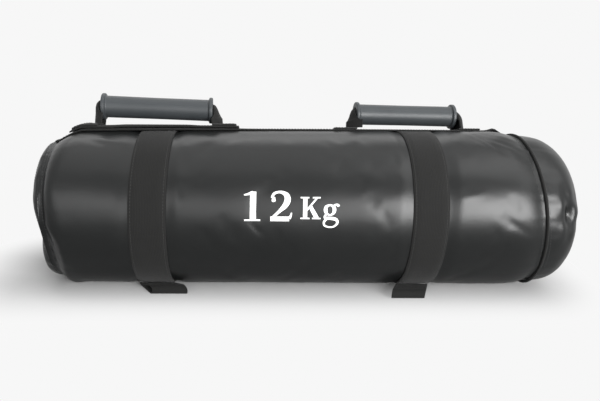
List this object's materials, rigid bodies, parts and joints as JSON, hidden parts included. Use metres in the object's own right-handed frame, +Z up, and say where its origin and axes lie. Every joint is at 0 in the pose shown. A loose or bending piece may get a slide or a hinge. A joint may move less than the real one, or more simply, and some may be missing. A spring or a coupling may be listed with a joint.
{
  "type": "sandbag trainer",
  "caption": "Cylindrical weighted training bag of coated sheet with webbing bands, folded webbing handles with turning grips, bottom loops and a rear zip over its sand filling",
  "frame": {"origin": "on the floor, halfway along the bag and under its axis, at the middle of the flat that the bag rests on", "axes": "+X runs along the bag to its full, right end, +Y points away from the printed front, +Z points up"},
  "size_m": [0.6048, 0.1879, 0.2084],
  "materials": {
    "coated_sheet": "glossy coated sheet with a fine grain",
    "webbing": "woven, matte",
    "piping": "matte cord covered with woven tape",
    "grip_plastic": "moulded, satin",
    "foam": "open-cell foam, matte",
    "sack_cloth": "dense woven cloth",
    "sand": "dry grains, matte",
    "tie_plastic": "moulded",
    "zip_tape": "woven tape with a plastic coil",
    "zip_metal": "dark lacquered metal"
  },
  "bodies": {
    "bag": {"main_panel": "coated_sheet", "end_cap_left": "coated_sheet", "end_cap_right": "coated_sheet", "piping_left": "piping", "piping_right": "piping", "band_left": "webbing", "band_right": "webbing", "top_strip": "webbing", "handle_left_base": "webbing", "handle_left_tail_a": "webbing", "handle_left_tail_b": "webbing", "handle_right_tail_a": "webbing", "handle_right_tail_b": "webbing", "zip_tape_upper": "zip_tape", "zip_tape_lower": "zip_tape", "zip_stop_left": "zip_metal", "zip_stop_right": "zip_metal", "foam_liner": "foam", "foam_pad_left": "foam", "foam_pad_right": "foam", "sand_sack_left": "sack_cloth", "sand_sack_right": "sack_cloth", "sand_fill_left": "sand", "sand_fill_right": "sand", "sack_tie_left": "tie_plastic", "sack_tie_right": "tie_plastic"},
    "handle_left": {"handle_left_webbing": "webbing"},
    "grip_left": {"grip_left": "grip_plastic"},
    "handle_right": {"handle_right_webbing": "webbing"},
    "grip_right": {"grip_right": "grip_plastic"},
    "loop_left": {"loop_left": "webbing"},
    "loop_right": {"loop_right": "webbing"},
    "zip_slider": {"zip_slider": "zip_metal"},
    "zip_pull": {"zip_pull": "zip_metal"}
  },
  "joints": [
    {"name": "handle_left_swing", "type": "hinge", "parent": "bag", "child": "handle_left", "pos_m": [-0.15129, 0.02644, 0.17367], "axis": [0.9983, 0.0525, -0.0238], "range_deg": [-30, 30], "stiffness_Nm_per_rad": 0.06, "deforming": ["handle_left_webbing"]},
    {"name": "grip_left_spin", "type": "hinge", "parent": "handle_left", "child": "grip_left", "pos_m": [-0.15113, 0.03182, 0.19199], "axis": [0.9983, 0.0525, -0.0238], "continuous": true},
    {"name": "handle_right_swing", "type": "hinge", "parent": "bag", "child": "handle_right", "pos_m": [0.1438, 0.04272, 0.1689], "axis": [0.9982, 0.0595, -0.0089], "range_deg": [-30, 30], "stiffness_Nm_per_rad": 0.06, "deforming": ["handle_right_webbing"]},
    {"name": "grip_right_spin", "type": "hinge", "parent": "handle_right", "child": "grip_right", "pos_m": [0.14339, 0.0523, 0.18747], "axis": [0.9982, 0.0595, -0.0089], "continuous": true},
    {"name": "loop_left_swing", "type": "hinge", "parent": "bag", "child": "loop_left", "pos_m": [-0.1475, -0.04226, 0.00424], "axis": [1, 0, 0], "range_deg": [-4, 120]},
    {"name": "loop_right_swing", "type": "hinge", "parent": "bag", "child": "loop_right", "pos_m": [0.1475, -0.04366, 0.00458], "axis": [1, 0, 0], "range_deg": [-8, 120]},
    {"name": "zip_slide", "type": "slide", "parent": "bag", "child": "zip_slider", "axis": [0.9999, 0.0101, 0.0101], "range_m": [-0.196, 0]},
    {"name": "zip_pull_swing", "type": "hinge", "parent": "zip_slider", "child": "zip_pull", "pos_m": [0.09797, 0.09349, 0.08619], "axis": [0.0101, 0, -0.9999], "range_deg": [0, 180]}
  ]
}
